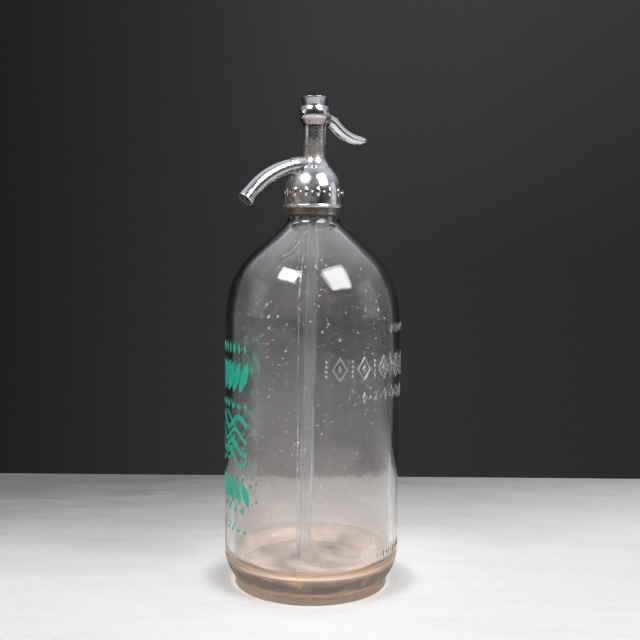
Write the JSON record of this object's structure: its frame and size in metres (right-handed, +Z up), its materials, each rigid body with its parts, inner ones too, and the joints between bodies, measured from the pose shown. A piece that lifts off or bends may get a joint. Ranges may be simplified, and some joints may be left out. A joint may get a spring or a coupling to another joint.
{
  "type": "soda siphon",
  "caption": "Glass soda siphon with a plated head: pressing the curved thumb lever lifts a sprung valve, and the bottle's gas drives the water up the dip tube and out of the spout.",
  "frame": {"origin": "centre of the bottle's foot ring on the table", "axes": "+Z up along the bottle's axis, -X towards the spout, +X towards the lever, +Y along the lever's pin"},
  "size_m": [0.106, 0.106, 0.2954],
  "materials": {
    "bottle": "clear pressed glass, worn",
    "dip_tube": "milky glass",
    "tube_seal": "black rubber",
    "tube_nut": "turned brass",
    "neck_gasket": "black rubber",
    "neck_cushion": "black rubber",
    "split_collar_front": "worn plating with brown tarnish",
    "split_collar_rear": "worn plating with brown tarnish",
    "locking_ring": "worn plating",
    "head_casting": "plated cast metal, pitted",
    "spout": "plated tube",
    "valve_seat": "turned brass",
    "seat_washer": "red fibre",
    "spindle": "turned brass",
    "valve_rubber": "black rubber",
    "valve_screw": "turned brass",
    "piston_cup": "black rubber",
    "valve_spring": "spring steel",
    "spring_bush": "turned brass",
    "lever": "plated cast metal",
    "lever_pin": "worn steel",
    "lever_bore_plug": "plated",
    "cap_washer": "red fibre",
    "top_cap": "plated, worn"
  },
  "bodies": {
    "siphon": {"bottle": "bottle", "dip_tube": "dip_tube", "tube_seal": "tube_seal", "tube_nut": "tube_nut", "neck_gasket": "neck_gasket", "neck_cushion": "neck_cushion", "split_collar_front": "split_collar_front", "split_collar_rear": "split_collar_rear", "locking_ring": "locking_ring", "head_casting": "head_casting", "spout": "spout", "valve_seat": "valve_seat", "seat_washer": "seat_washer", "valve_spring": "valve_spring", "spring_bush": "spring_bush", "lever_pin": "lever_pin", "lever_bore_plug": "lever_bore_plug", "cap_washer": "cap_washer", "top_cap": "top_cap"},
    "lever": {"lever": "lever"},
    "valve_rod": {"spindle": "spindle", "piston_cup": "piston_cup", "valve_rubber": "valve_rubber", "valve_screw": "valve_screw"}
  },
  "joints": [
    {"name": "lever_press", "type": "hinge", "parent": "siphon", "child": "lever", "pos_m": [0.004, 0, 0.2846], "axis": [0, 1, 0], "range_deg": [0, 18], "stiffness_Nm_per_rad": 0.1, "springref_deg": -20.05},
    {"name": "spindle_lift", "type": "slide", "parent": "siphon", "child": "valve_rod", "axis": [0, 0, 1], "range_m": [0, 0.0013], "deforming": ["valve_spring"]}
  ],
  "couplings": [
    {"joint": "spindle_lift", "follows": "lever_press", "m_per_rad": 0.004}
  ]
}
